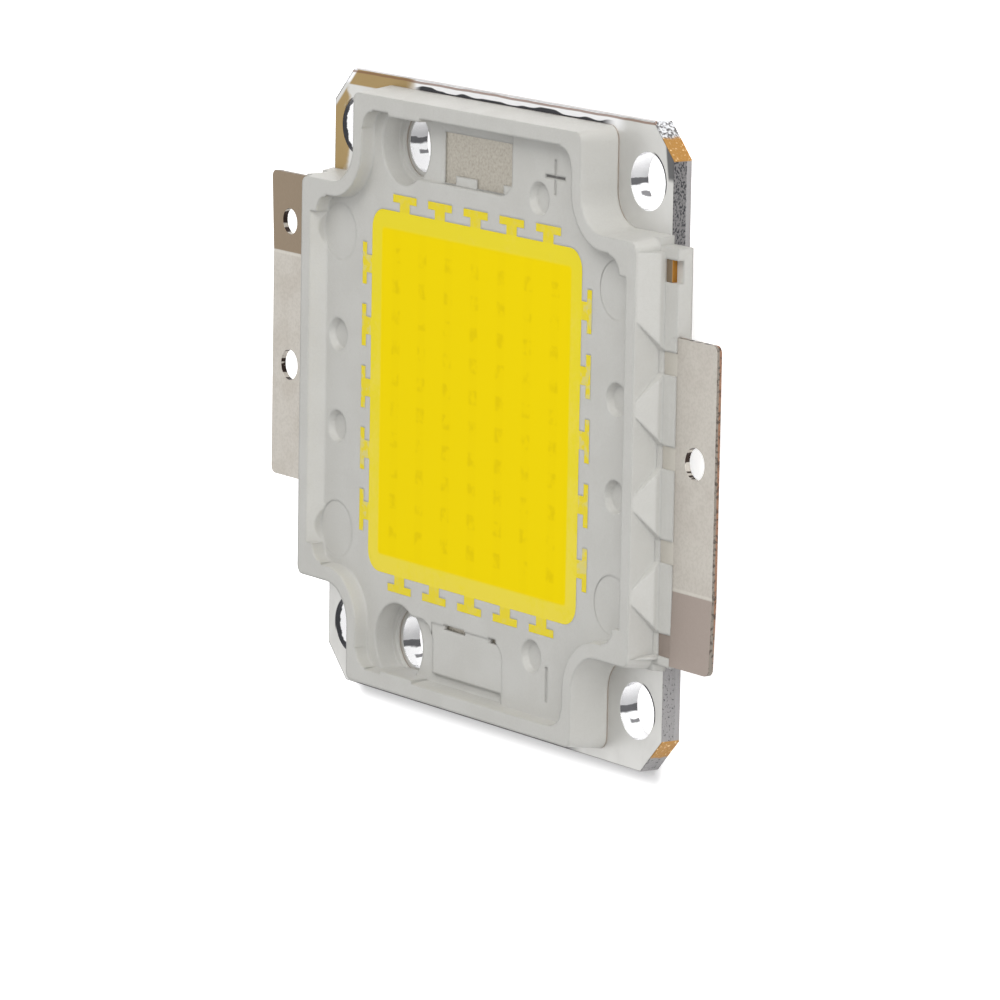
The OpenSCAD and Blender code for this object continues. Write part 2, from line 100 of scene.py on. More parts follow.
class Graph:
    """Short calls for building a node tree.

    Args:
        tree: The tree that the nodes are added to.
    """

    def __init__(self, tree: bpy.types.NodeTree) -> None:
        """Keeps the tree."""
        self.tree = tree

    # ---- places

    @cached_property
    def place(self) -> Socket:
        """Object coordinates in millimetres."""
        inputs = {0: self.node("ShaderNodeTexCoord").outputs["Object"], 3: 1 / MM}
        return self.node("ShaderNodeVectorMath", inputs, operation="SCALE").outputs[0]

    @cached_property
    def axes(self) -> tuple[Socket, ...]:
        """The three parts of the place."""
        return self.split(self.place)

    @property
    def x(self) -> Socket:
        """Distance to the right of the middle."""
        return self.axes[0]

    @property
    def y(self) -> Socket:
        """Distance above the middle."""
        return self.axes[1]

    @property
    def z(self) -> Socket:
        """Distance in front of the plate's back."""
        return self.axes[2]

    @cached_property
    def wide(self) -> Socket:
        """Distance from the middle to either side."""
        return self.size(self.x)

    @cached_property
    def high(self) -> Socket:
        """Distance from the middle, up or down."""
        return self.size(self.y)

    @cached_property
    def up(self) -> Socket:
        """How far the surface looks up: 1 on a face, 0 on a wall."""
        return self.split(self.node("ShaderNodeNewGeometry").outputs["True Normal"])[2]

    # ---- nodes

    def node(self, kind: str, inputs: dict | None = None, **props: object) -> bpy.types.Node:
        """Adds a node and sets or links its inputs.

        Args:
            kind: Blender's name of the node type.
            inputs: Input name or index to a value or to an output socket.
            **props: Properties of the node itself.

        Returns:
            The new node.
        """
        made = self.tree.nodes.new(kind)
        for name, value in props.items():
            setattr(made, name, value)
        for name, value in (inputs or {}).items():
            self.feed(made.inputs[name], value)
        return made

    def group(self, tree: bpy.types.NodeTree, inputs: dict) -> bpy.types.Node:
        """Places a node group."""
        return self.node("ShaderNodeGroup", inputs, node_tree=tree)

    def feed(self, socket: Socket, value: Value | tuple) -> None:
        """Links or sets an input.

        Args:
            socket: The input.
            value: The output to link it to, or its own value; a colour becomes opaque.
        """
        if isinstance(value, bpy.types.NodeSocket):
            self.tree.links.new(value, socket)
        elif socket.type == "RGBA":
            socket.default_value = (*value, 1.0)
        else:
            socket.default_value = value

    def split(self, vector: Socket) -> tuple[Socket, ...]:
        """The three parts of a vector."""
        return tuple(self.node("ShaderNodeSeparateXYZ", {0: vector}).outputs)

    def stretched(self, vector: Socket, scale: tuple[float, float, float]) -> Socket:
        """A place with each of its parts scaled."""
        return self.node("ShaderNodeMapping", {"Vector": vector, "Scale": scale}).outputs[0]

    def soft_edge(self, radius_mm: float) -> Socket:
        """Surface direction with the edges rounded by a radius."""
        return self.node("ShaderNodeBevel", {"Radius": radius_mm * MM}, samples=6).outputs[0]

    def noise(self, plan: Noise, vector: Socket | None = None) -> Socket:
        """Adds a noise texture.

        Args:
            plan: The noise.
            vector: Where it is drawn; the place on the piece if it isn't given.

        Returns:
            Its value, about 0.5 in the middle.
        """
        if vector is None:
            vector = self.place
        if plan.stretch is not None:
            vector = self.stretched(vector, plan.stretch)
        inputs = {"Vector": vector, "Scale": plan.scale, "Detail": plan.detail}
        return self.node("ShaderNodeTexNoise", inputs).outputs[0]

    # ---- values and masks

    def math(self, operation: str, *values: Value, clamp: bool = False) -> Socket:
        """Adds a math node.

        Args:
            operation: Blender's name of the operation.
            *values: What it works on.
            clamp: Whether the result is kept from 0 to 1.

        Returns:
            The result.
        """
        inputs = dict(enumerate(values))
        return self.node("ShaderNodeMath", inputs, operation=operation, use_clamp=clamp).outputs[0]

    def add(self, first: Value, second: Value) -> Socket:
        """Sum of two values."""
        return self.math("ADD", first, second)

    def less(self, first: Value, second: Value) -> Socket:
        """First value less the second one."""
        return self.math("SUBTRACT", first, second)

    def size(self, value: Value) -> Socket:
        """Value without its sign."""
        return self.math("ABSOLUTE", value)

    def both(self, *masks: Value) -> Socket:
        """Product of masks: 1 where all of them are 1."""
        return reduce(lambda product, mask: self.math("MULTIPLY", product, mask), masks)

    def either(self, *masks: Value) -> Socket:
        """Largest of some masks: 1 where any of them is 1."""
        return reduce(lambda largest, mask: self.math("MAXIMUM", largest, mask), masks)

    def outside(self, mask: Value) -> Socket:
        """1 where the mask is 0."""
        return self.math("SUBTRACT", 1.0, mask, clamp=True)

    def sway(self, noise: Value, height: float) -> Socket:
        """A noise that swings to both sides of 0, by half of a height."""
        return self.both(self.less(noise, NOISE_MIDDLE), height)

    def ramp(self, value: Value, span: Span) -> Socket:
        """Adds a smooth step from 0 to 1.

        Args:
            value: The value that it is drawn over.
            span: Where it is 0 and where it is 1; either may be the larger one.

        Returns:
            The mask.
        """
        inputs = {"Value": value, "From Min": span[0], "From Max": span[1]}
        made = self.node("ShaderNodeMapRange", inputs, interpolation_type="SMOOTHSTEP")
        return made.outputs["Result"]

    def past(self, value: Value, edge: float, span: Span) -> Socket:
        """Smooth step over a span that is measured from an edge."""
        return self.ramp(value, (edge + span[0], edge + span[1]))

    def near(self, value: Value, middle: float, span: Span) -> Socket:
        """Mask round a middle, with a span that is measured from there to both sides."""
        return self.ramp(self.size(self.less(value, middle)), span)

    def stripe(self, value: Value, plan: Stripe) -> Socket:
        """Mask of a stripe."""
        return self.both(self.near(value, plan.middle, plan.span), plan.cover)

    # ---- mixing

    def mix(self, factor: Value, first: Paint, second: Paint) -> Socket:
        """Adds a mix of two colours.

        Args:
            factor: 0 for the first colour and 1 for the second one.
            first: A colour.
            second: Another colour.

        Returns:
            The mixed colour.
        """
        inputs = {0: factor, 6: first, 7: second}
        return self.node("ShaderNodeMix", inputs, data_type="RGBA", clamp_factor=True).outputs[2]

    def blend(self, factor: Value, first: Value, second: Value) -> Socket:
        """Adds a mix of two values.

        Args:
            factor: 0 for the first value and 1 for the second one.
            first: A value.
            second: Another value.

        Returns:
            The mixed value.
        """
        inputs = {0: factor, 2: first, 3: second}
        return self.node("ShaderNodeMix", inputs, clamp_factor=True).outputs[0]

    def layers(self, base: Paint, *layers: Layer) -> Paint:
        """Lays colours over one another.

        Args:
            base: The lowest colour.
            *layers: The mask and the colour of each layer, from the lowest up.

        Returns:
            The colour that is seen.
        """
        for mask, paint in layers:
            base = self.mix(mask, base, paint)
        return base


class Coat(Graph):
    """Node tree of one material.

    Args:
        title: The material's name.
    """

    def __init__(self, title: str) -> None:
        """Makes the material and finds its shader.

        Args:
            title: The material's name.
        """
        self.material = bpy.data.materials.new(title)
        self.material.use_nodes = True
        super().__init__(self.material.node_tree)
        self.shader = self.tree.nodes["Principled BSDF"]

    def finish(self, inputs: dict[str, Value | tuple]) -> None:
        """Links or sets inputs of the shader."""
        for name, value in inputs.items():
            self.feed(self.shader.inputs[name], value)


class GroupLibrary:
    """Node groups shared by several materials."""

    clouds = Noise(0.35, 4.0)
    grain_detail = 5.0
    cloud_height = 2.0  # of the clouds, for a grain of 1
    fine_share = 0.4  # of the fine grain in the tone
    grain_depth_mm = 0.05
    blotches = Noise(0.45, 4.0)
    speckles = Noise(5.5, 6.0)
    hairs = Noise(1.4, 2.0, (9.0, 0.5, 9.0))
    scratches: Span = (0.58, 0.72)  # of the hairs
    scratch_depth = 0.04
    wear_strength = 0.6
    wear_depth_mm = 0.12

    def __init__(self) -> None:
        """Makes the groups."""
        self.grain = self._grain()
        self.wear = self._wear()

    @staticmethod
    def _start(
        name: str, inputs: dict[str, float | None], outputs: dict[str, bool]
    ) -> tuple[Graph, bpy.types.Node, bpy.types.Node]:
        """Opens a group with its sockets.

        Args:
            name: The group's name.
            inputs: Name and default value of each input; None makes it a vector.
            outputs: Name of each output, and whether it is a vector.

        Returns:
            The graph, its input node and its output node.
        """
        tree = bpy.data.node_groups.new(name, "ShaderNodeTree")
        for label, value in inputs.items():
            kind = "NodeSocketVector" if value is None else "NodeSocketFloat"
            socket = tree.interface.new_socket(label, in_out="INPUT", socket_type=kind)
            if value is not None:
                socket.default_value = value
        for label, is_vector in outputs.items():
            kind = "NodeSocketVector" if is_vector else "NodeSocketFloat"
            tree.interface.new_socket(label, in_out="OUTPUT", socket_type=kind)
        graph = Graph(tree)
        return graph, graph.node("NodeGroupInput"), graph.node("NodeGroupOutput")

    def _grain(self) -> bpy.types.NodeTree:
        """Makes the cloudy tone and fine bump of a moulded or poured surface.

        Returns:
            The group.
        """
        g, given, out = self._start(
            "MouldedGrain",
            {"Place": None, "Grain Scale": 6.0, "Bump": 0.1, "Edge Normal": None},
            {"Tone": False, "Normal": True},
        )
        place = given.outputs["Place"]
        clouds = g.noise(self.clouds, place)
        fine = g.noise(Noise(given.outputs["Grain Scale"], self.grain_detail), place)
        bump = g.node("ShaderNodeBump", {
            "Strength": given.outputs["Bump"],
            "Distance": self.grain_depth_mm * MM,
            "Height": g.add(fine, g.both(clouds, self.cloud_height)),
            "Normal": given.outputs["Edge Normal"],
        })
        g.feed(out.inputs["Tone"], g.blend(self.fine_share, clouds, fine))
        g.feed(out.inputs["Normal"], bump.outputs[0])
        return g.tree

    def _wear(self) -> bpy.types.NodeTree:
        """Makes the blotches, speckles and hairline scratches of a plated sheet.

        Returns:
            The group.
        """
        g, given, out = self._start(
            "PlatedWear",
            {"Place": None, "Roughening": 0.0, "Edge Normal": None},
            {"Blotch": False, "Speckle": False, "Scratch": False, "Normal": True},
        )
        place = given.outputs["Place"]
        speckle = g.noise(self.speckles, place)
        scratch = g.ramp(g.noise(self.hairs, place), self.scratches)
        rough = g.both(speckle, given.outputs["Roughening"])
        bump = g.node("ShaderNodeBump", {
            "Strength": self.wear_strength,
            "Distance": self.wear_depth_mm * MM,
            "Height": g.less(rough, g.both(scratch, self.scratch_depth)),
            "Normal": given.outputs["Edge Normal"],
        })
        g.feed(out.inputs["Blotch"], g.noise(self.blotches, place))
        g.feed(out.inputs["Speckle"], speckle)
        g.feed(out.inputs["Scratch"], scratch)
        g.feed(out.inputs["Normal"], bump.outputs[0])
        return g.tree


# ---------------------------------------------------------------- sizes and finishes


@dataclass(frozen=True)
class Layout:
    """Sizes of the module in millimetres, from the middle of the plate's back face.

    Args:
        plate: Half width, half height and thickness of the base plate.
        frame: Half width, half height and top of the plastic frame.
        string_pitch: Pitch of the die strings.
        die_pitch: Pitch of the dies in a string.
        chamfer: Leg of the plate's corner chamfers.
        arm_x: Half width of the frame's arms.
        floor_z: Height of the recess floor.
        strings: Number of die strings.
        dies: Number of dies in a string.
        cavity: Half width of the cavity that holds the dies.
        ledge: Half width of the ledge round it.
        tab_end: Distance of the bent end of a tab from the middle line.
        sign_place: Middle of the plus sign.
        pad_y: Where the bare contact pad begins.
        lead_z: Middle of the leads' thickness.
        hole_place: Distance of the corner screw holes from the two middle lines.
        hole_r: Radius of those holes.
    """

    plate: Vector
    frame: Vector
    string_pitch: float
    die_pitch: float
    chamfer: float = 2.15
    arm_x: float = 12.65
    floor_z: float = 2.95
    strings: int = 7
    dies: int = 10
    cavity: float = 10.55
    ledge: float = 11.7
    tab_end: float = 12.65
    sign_place: tuple[float, float] = (8.65, 15.8)
    pad_y: float = 13.6
    lead_z: float = 1.95
    hole_place: tuple[float, float] = (16.1, 16.3)
    hole_r: float = 1.8

    @classmethod
    def read(cls) -> "Layout":
        """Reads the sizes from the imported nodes.

        Returns:
            The sizes.
        """
        first_low, first_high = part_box("die_string_1")
        second_low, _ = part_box("die_string_2")
        die = first_high.x - first_low.x
        return cls(
            plate=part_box("base_plate")[1] / MM,
            frame=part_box("frame")[1] / MM,
            string_pitch=(second_low.x - first_low.x) / MM,
            die_pitch=(first_high.y - first_low.y - die) / (cls.dies - 1) / MM,
        )

    @property
    def corner(self) -> float:
        """Sum of the two distances from the middle lines on a chamfer."""
        return self.plate.x + self.plate.y - self.chamfer


@dataclass(frozen=True)
class Moulding:
    """Finish of the pale plastic frame."""

    colour: Rgb = display(187, 186, 181)
    shade: Rgb = display(176, 174, 168)
    line: Rgb = display(150, 128, 106)
    # dark colour of the painted shade in the plus sign's groove
    groove_shade: Rgb = display(40, 36, 34)
    roughness: Ends = (0.42, 0.52)
    grain: float = 7.0
    bump: float = 0.25
    edge_mm: float = 0.26
    milkiness: float = 0.15
    milky_depth_mm: float = 0.15
    milky_reach: Rgb = (1.0, 1.0, 1.0)


@dataclass(frozen=True)
class Silicone:
    """Finish of the phosphor-filled silicone."""

    deep: Rgb = display(239, 212, 0)
    pale: Rgb = display(230, 212, 50)
    milky: Rgb = display(232, 213, 78)
    key: Rgb = display(224, 204, 54)
    film: Rgb = display(206, 200, 150)
    die: Rgb = display(216, 186, 0)
    roughness: Ends = (0.45, 0.53)
    grain: float = 3.0
    bump: float = 0.12
    edge_mm: float = 0.05
    ior: float = 1.41
    gloss: float = 0.04


@dataclass(frozen=True)
class Plating:
    """Finish of the nickel-plated copper plate."""

    nickel: Rgb = (0.60, 0.595, 0.575)
    bright: Rgb = (0.85, 0.85, 0.86)
    edge: Rgb = (0.66, 0.67, 0.69)
    dull: Rgb = (0.52, 0.51, 0.49)
    torn: Rgb = (0.13, 0.125, 0.125)
    cut: Rgb = (0.27, 0.262, 0.262)
    # dark colour of real pits, also of painted shade and painted dark reflections
    pit_and_shade: Rgb = (0.035, 0.035, 0.04)
    copper: Rgb = display(164, 122, 62)
    flake: Rgb = display(232, 206, 160)
    brownish: Rgb = display(156, 132, 86)
    line: Rgb = display(120, 84, 60)
    metal: float = 0.75
    roughness: Ends = (0.36, 0.52)
    bore_roughness: float = 0.12
    cut_roughness: float = 0.5
    scratch_roughness: float = 0.06
    cut_bump: float = 0.9
    edge_mm: float = 0.06


@dataclass(frozen=True)
class Tinning:
    """Finish of a stamped lead.

    Args:
        blotch_and_end_reflection: Colour of its tab's bent end, a painted darker reflection, also
            of its warm blotches.
    """

    blotch_and_end_reflection: Rgb
    tin: Rgb = display(188, 183, 175)
    # pale plastic veil in the notches, painted lighter as painted light; also the painted crease
    # highlight
    veil_and_light: Rgb = display(200, 196, 187)
    grit: Rgb = display(132, 126, 115)
    bare: Rgb = display(186, 181, 170)
    torn: Rgb = display(122, 116, 108)
    copper: Rgb = display(134, 102, 82)
    fresh_copper: Rgb = display(170, 120, 54)
    # dark colour of real pits, also of the painted dark reflections in the tab's holes
    pit_and_shade: Rgb = display(52, 42, 38)
    metal: Ends = (0.75, 0.9)
    roughness: Ends = (0.37, 0.52)
    bump: Ends = (0.18, 0.7)
    edge_mm: float = 0.05


@dataclass(frozen=True)
class Clouded:
    """Finish in two tones of one colour.

    Args:
        dark: The dark tone.
        pale: The pale tone.
        roughness: Roughness of the dark and of the pale tone.
        clouds: Noise that goes from one to the other.
        metal: 1 for a metal, 0 for anything else.
    """

    dark: Rgb
    pale: Rgb
    roughness: Ends
    clouds: Noise
    metal: float = 0.0


CRYSTAL = Clouded((0.05, 0.09, 0.2), (0.12, 0.2, 0.35), (0.1, 0.2), Noise(3.0, 2.0))
GOLD = Clouded((0.8, 0.5, 0.15), (0.9, 0.62, 0.24), (0.2, 0.3), Noise(5.0, 2.0), metal=1.0)


class Pole(Enum):
    """Side of the module that a lead serves; the value is the sign of its tab's X."""

    ANODE = -1
    CATHODE = 1


# ---------------------------------------------------------------- sub-assemblies


@dataclass
class SubAssembly(ABC):
    """Pieces that share a finish.

    Its spans are in millimetres from the middle of the plate's back face. Where the comment
    beside one names an edge, it is measured from there, outwards or upwards. Where the
    comment names a noise or a pattern, the span is in that pattern's own values.

    Args:
        title: Name of the material.
        pieces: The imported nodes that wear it.
        layout: Sizes of the module.
        groups: The shared node groups.
    """

    title: str
    pieces: list[str]
    layout: Layout
    groups: GroupLibrary
    g: Coat = field(init=False)

    def __post_init__(self) -> None:
        """Opens the material."""
        self.g = Coat(self.title)

    @abstractmethod
    def paint(self) -> None:
        """Builds the material."""

    def dress(self) -> None:
        """Builds the material and puts it on each piece."""
        self.paint()
        for name in self.pieces:
            mesh = frame["nodes"][name].data
            mesh.materials.clear()
            mesh.materials.append(self.g.material)
            for polygon in mesh.polygons:
                polygon.material_index = 0
            LOG.info("dressed %s in %s", name, self.title)


@dataclass
class PlasticFrame(SubAssembly):
    """Pale moulded plastic with soft edges, a cloudy tone and dust specks."""

    finish: Moulding = Moulding()
    shaded: Span = (0.62, 0.38)  # of the grain's tone
    shade_cover: float = 0.3
    speck_noise: Noise = Noise(2.2, 1.0)
    specks: Span = (0.72, 0.8)  # of their noise
    speck_cover: float = 0.35
    foot_noise: Noise = Noise(0.8, 2.0)
    foot_wave: float = 0.08
    foot_z: Span = (0.04, 0.0)  # past the plate's face
    foot_x: Span = (1.6, 1.0)  # past the arms
    foot_cover: float = 0.6
    stroke_shift: float = -0.1  # of the painted shade, from the sign's middle
    stroke_x: Span = (1.03, 0.95)  # from the painted shade's middle
    stroke_y: Span = (0.1, 0.06)  # from the painted shade's middle
    stroke_z: Span = (-0.03, -0.09)  # past the recess floor
    stroke_cover: float = 0.8

    def paint(self) -> None:
        """Builds the material."""
        g, finish = self.g, self.finish
        grain = g.group(self.groups.grain, {
            "Place": g.place,
            "Grain Scale": finish.grain,
            "Bump": finish.bump,
            "Edge Normal": g.soft_edge(finish.edge_mm),
        })
        tone = g.ramp(grain.outputs["Tone"], self.shaded)
        specks = g.ramp(g.noise(self.speck_noise), self.specks)
        dusty = g.either(g.both(tone, self.shade_cover), g.both(specks, self.speck_cover))
        colour = g.layers(
            finish.colour,
            (dusty, finish.shade),
            (self._foot_line(), finish.line),
            # painted shade in the level stroke of the plus sign
            (self._sign_groove_shade(), finish.groove_shade),
        )
        g.finish({
            "Base Color": colour,
            "Roughness": g.blend(tone, *finish.roughness),
            "Normal": grain.outputs["Normal"],
            "Subsurface Weight": finish.milkiness,
            "Subsurface Radius": finish.milky_reach,
            "Subsurface Scale": finish.milky_depth_mm * MM,
        })

    def _foot_line(self) -> Socket:
        """Draws the thin brown line where the frame's arms stand on the plate.

        Returns:
            Its mask.
        """
        g = self.g
        above = g.less(g.z, g.both(g.noise(self.foot_noise), self.foot_wave))
        foot = g.past(above, self.layout.plate.z, self.foot_z)
        return g.both(foot, g.past(g.wide, self.layout.arm_x, self.foot_x), self.foot_cover)

    def _sign_groove_shade(self) -> Socket:
        """Draws painted shade in the level stroke of the plus sign, deep in its groove.

        Returns:
            Its mask.
        """
        g = self.g
        sign_x, sign_y = self.layout.sign_place
        along = g.near(g.x, sign_x + self.stroke_shift, self.stroke_x)
        across = g.near(g.y, sign_y, self.stroke_y)
        deep = g.past(g.z, self.layout.floor_z, self.stroke_z)
        return g.both(along, across, deep, self.stroke_cover)


@dataclass
class PhosphorLayer(SubAssembly):
    """Yellow silicone: deep over the cavity, pale over its ledge and in the keys."""

    finish: Silicone = Silicone()
    corner: float = 0.5  # softness of the cavity's corners
    over_cavity: Span = (0.12, -0.12)  # past the cavity's wall
    in_key: Span = (-0.05, 0.1)  # past the ledge
    milk: Span = (0.4, 0.66)  # of the grain's tone
    milk_slope: float = -0.012  # of that tone, for each millimetre up
    milk_cover: float = 0.8
    key_cover: float = 0.8
    film_noise: Noise = Noise(1.9, 3.0)
    film: Span = (0.46, 0.62)  # of its noise
    film_x: Span = (-0.1, 0.1)  # past the ledge
    film_cover: Ends = (0.15, 0.6)  # on the upper and lower keys, and on the others
    die_half: float = 0.36
    bar_half: float = 0.26
    cell_border: float = 0.12  # of a pitch
    spot_noise: Noise = Noise(1.3, 3.0)
    spots: Span = (0.36, 0.68)  # of their noise
    spot_cover: float = 0.5
    bar_cover: float = 0.05

    def paint(self) -> None:
        """Builds the material."""
        g, finish = self.g, self.finish
        square = g.math("SMOOTH_MAX", g.wide, g.high, self.corner)
        over_cavity = g.past(square, self.layout.cavity, self.over_cavity)
        in_key = g.past(square, self.layout.ledge, self.in_key)
        grain = g.group(self.groups.grain, {
            "Place": g.place,
            "Grain Scale": finish.grain,
            "Bump": finish.bump,
            "Edge Normal": g.soft_edge(finish.edge_mm),
        })
        tone = grain.outputs["Tone"]
        milk = g.ramp(g.add(tone, g.both(g.y, self.milk_slope)), self.milk)
        skirt = g.layers(
            finish.pale,
            (g.both(milk, self.milk_cover), finish.milky),
            (g.both(in_key, self.key_cover), finish.key),
            (g.both(in_key, self._key_film()), finish.film),
        )
        core = g.mix(self._die_spots(), finish.deep, finish.die)
        g.finish({
            "Base Color": g.mix(over_cavity, skirt, core),
            "Roughness": g.blend(tone, *finish.roughness),
            "Normal": grain.outputs["Normal"],
            "IOR": finish.ior,
            "Specular IOR Level": finish.gloss,
        })

    def _key_film(self) -> Socket:
        """Draws patches of moulding film on the keys, most of it on those of the two sides.

        Returns:
            Their mask.
        """
        g = self.g
        patches = g.ramp(g.noise(self.film_noise), self.film)
        side = g.past(g.wide, self.layout.ledge, self.film_x)
        return g.both(patches, g.blend(side, *self.film_cover))

    def _die_spots(self) -> Socket:
        """Draws faint ragged spots over the dies and fainter bars along the strings.

        Returns:
            Their mask.
        """
        g, layout = self.g, self.layout
        rows = self._cells(g.y, layout.die_pitch, layout.dies, self.die_half)
        strings = self._cells(g.x, layout.string_pitch, layout.strings, self.bar_half)
        ragged = g.ramp(g.noise(self.spot_noise), self.spots)
        spots = g.both(rows, strings, ragged, self.spot_cover)
        return g.either(spots, g.both(strings, self.bar_cover))

    def _cells(self, along: Socket, pitch: float, count: int, half: float) -> Socket:
        """Draws evenly spaced places.

        Args:
            along: Distance from the middle line, along the row.
            pitch: Distance from each to the next.
            count: Number of places.
            half: Half width of each.

        Returns:
            Mask that is 1 in each of them and 0 between and beyond them.
        """
        g = self.g
        shifted = g.add(g.math("DIVIDE", along, pitch), (count - 1) / 2)
        nearest = g.math("MINIMUM", g.math("MAXIMUM", g.math("ROUND", shifted), 0.0), count - 1.0)
        return g.past(g.size(g.less(shifted, nearest)), half / pitch, (self.cell_border, 0.0))


@dataclass
class BasePlate(SubAssembly):
    """Nickel over copper: bright on its faces, torn and pitted on its cut edges."""

    finish: Plating = Plating()
    wall: Span = (0.5, 0.2)  # of how far a surface looks up or down
    face: Span = (0.5, 0.8)  # of how far it looks up
    rim: Span = (-0.05, -0.01)  # past the straight edges
    slant: Span = (-0.12, -0.04)  # past the chamfers
    below_top: Span = (-0.02, -0.1)  # past the upper edge, which stays bright
    cut_cover: float = 0.95
    dull: Span = (0.4, 0.7)  # of the blotches
    dull_cover: float = 0.5
    ragged: float = 3.0  # how far the blotches move a ragged border
    strip_x: Span = (14.0, 12.6)
    strip_y: Span = (18.9, 19.2)
    gap_noise: Noise = Noise(0.3, 1.0, (1.0, 0.0, 0.0))
    gap_waves: Span = (0.4, 0.65)  # of its noise
    gap_low: float = 0.08  # past the foot of the arm, at its least
    gap_rise: float = 0.2  # of its waves
    gap_border: Span = (0.03, -0.02)  # past its outline
    gap_left: Span = (-9.8, -8.8)
    gap_right: Span = (0.0, -1.65)  # past the arm's end
    gap_y: Span = (18.0, 18.2)
    torn_y: Span = (-8.0, 6.0)
    torn_z: Span = (0.34, 0.42)
    torn_cover: Ends = (0.25, 1.0)  # low and high on the plate
    line_noise: Noise = Noise(0.5, 2.0)
    line_wave: float = 0.12
    line_depth: float = 0.16  # of its middle, under the edge of the face
    line: Span = (0.1, 0.05)  # from its middle
    line_y: Span = (-0.4, -0.3)  # past the upper edge
    line_cover: float = 0.75
    pit_noise: Noise = Noise(5.5, 4.0, (1.0, 1.0, 1.6))
    pits: Span = (0.57, 0.7)  # of their noise
    pit_y: Span = (-14.0, 4.0)
    pit_z: Span = (0.30, 0.42)
    pit_gain: float = 0.1  # of their noise, high on the plate
    spared_y: Span = (18.85, 19.05)
    sparkle: Span = (0.4, 0.6)  # of the speckles
    band_noise: Noise = Noise(2.2, 3.0, (1.0, 1.0, 0.4))
    band_wave: float = 0.5
    band_x: Span = (-14.0, -13.0)
    upper_band: tuple[Span, Span] = ((1.7, 0.0), (-0.3, 0.0))  # past the hole's middle
    upper_cover: float = 0.5
    middle_band: Stripe = Stripe(-0.2, (0.3, 0.16), 0.92)  # past the hole's middle
    low_band: Stripe = Stripe(-0.95, (0.16, 0.1), 0.8)  # past the hole's middle
    low_z: Span = (0.75, 0.6)
    lip_x: Span = (-13.0, -14.0)
    lip_z: Span = (1.12, 1.2)
    lip_wave: float = 0.4
    mouth_out: float = 0.03  # past the hole's radius
    mouth: Span = (0.1, 0.07)  # from its middle
    mouth_z: Span = (-0.12, -0.06)  # past the plate's face
    mouth_lean: float = 0.5  # how far upwards its side looks, for 1 outwards
    mouth_side: Span = (1.3, 1.7)  # towards that side, past the hole's middle
    shade_left: Span = (-16.0, -14.5)
    shade_right: Span = (10.5, 8.0)
    shade_y: Span = (0.5, 0.35)  # past the lower edge
    shade_cover: float = 0.9
    sliver_lean: float = 0.16  # how far it moves left, for each millimetre up
    sliver: Span = (20.75, 20.95)  # to the right, with that lean
    sliver_low: Span = (16.4, 16.8)
    sliver_high: Span = (18.9, 18.4)
    sliver_cover: float = 0.85
    brownish_side: tuple[Span, Span] = ((-17.2, -17.7), (12.4, 13.4))  # in x and in y
    brownish_top: tuple[Span, Span] = ((-9.0, -10.5), (18.9, 19.0))  # in x and in y
    brownish_corner: Span = (-0.35, -0.6)  # past the chamfer
    bare_x: Span = (-2.0, 2.0)
    bare_y: Span = (19.1, 18.9)
    bare_ragged: float = 0.4
    flakes: Span = (0.56, 0.7)  # of the speckles

    def paint(self) -> None:
        """Builds the material, from the plain nickel to the marks on it."""
        g, finish = self.g, self.finish
        rim, slant = self._cut_edges()
        cut = g.either(rim, slant)
        whole = g.outside(cut)
        bores = g.both(self._walls(), whole)
        wear = g.group(self.groups.wear, {
            "Place": g.place,
            "Roughening": g.both(cut, finish.cut_bump),
            "Edge Normal": g.soft_edge(finish.edge_mm),
        })
        blotch, speckle = wear.outputs["Blotch"], wear.outputs["Speckle"]
        ragged = g.sway(blotch, self.ragged)
        torn = g.mix(self._torn_part(), finish.cut, finish.torn)
        sparkle = g.mix(g.ramp(speckle, self.sparkle), finish.torn, finish.edge)
        bare = g.mix(g.ramp(speckle, self.flakes), finish.copper, finish.flake)
        colour = g.layers(
            finish.nickel,
            (g.both(g.ramp(blotch, self.dull), self.dull_cover), finish.dull),
            (self._bright_parts(), finish.bright),
            (g.both(cut, self._below_top(), self.cut_cover), torn),
            (self._pits(cut), finish.pit_and_shade),
            (g.both(slant, self._spared()), sparkle),
            (g.both(rim, g.outside(self._below_top())), finish.edge),
            # painted shadow in the gap along the upper arm's foot
            (self._foot_gap_shade(), finish.pit_and_shade),
            # painted dark reflections on the screw holes' walls
            (g.both(bores, self._bore_reflections()), finish.pit_and_shade),
            # painted dark reflection on the rim of each corner screw hole
            (self._mouth_reflections(), finish.pit_and_shade),
            # painted shade under the lower arm and in one corner
            (self._shaded_face(), finish.pit_and_shade),
            (g.both(self._brownish_parts(ragged), whole, self._front()), finish.brownish),
            (self._top_line(), finish.line),
            (g.both(slant, self._bare_corner(ragged)), bare),
        )
        smooth = g.blend(bores, g.blend(blotch, *finish.roughness), finish.bore_roughness)
        rough = g.blend(cut, smooth, finish.cut_roughness)
        scratched = g.both(wear.outputs["Scratch"], finish.scratch_roughness)
        g.finish({
            "Base Color": colour,
            "Metallic": finish.metal,
            "Roughness": g.add(rough, scratched),
            "Normal": wear.outputs["Normal"],
        })

    def _walls(self) -> Socket:
        """Mask of the upright walls."""
        return self.g.ramp(self.g.size(self.g.up), self.wall)

    def _front(self) -> Socket:
        """Mask of the front face."""
        return self.g.ramp(self.g.up, self.face)

    def _below_top(self) -> Socket:
        """0 on the upper cut edge, which stays bright, and 1 elsewhere."""
        return self.g.past(self.g.y, self.layout.plate.y, self.below_top)

    def _spared(self) -> Socket:
        """Upper part of the upper chamfers, where the plating is whole and rough."""
        return self.g.ramp(self.g.y, self.spared_y)

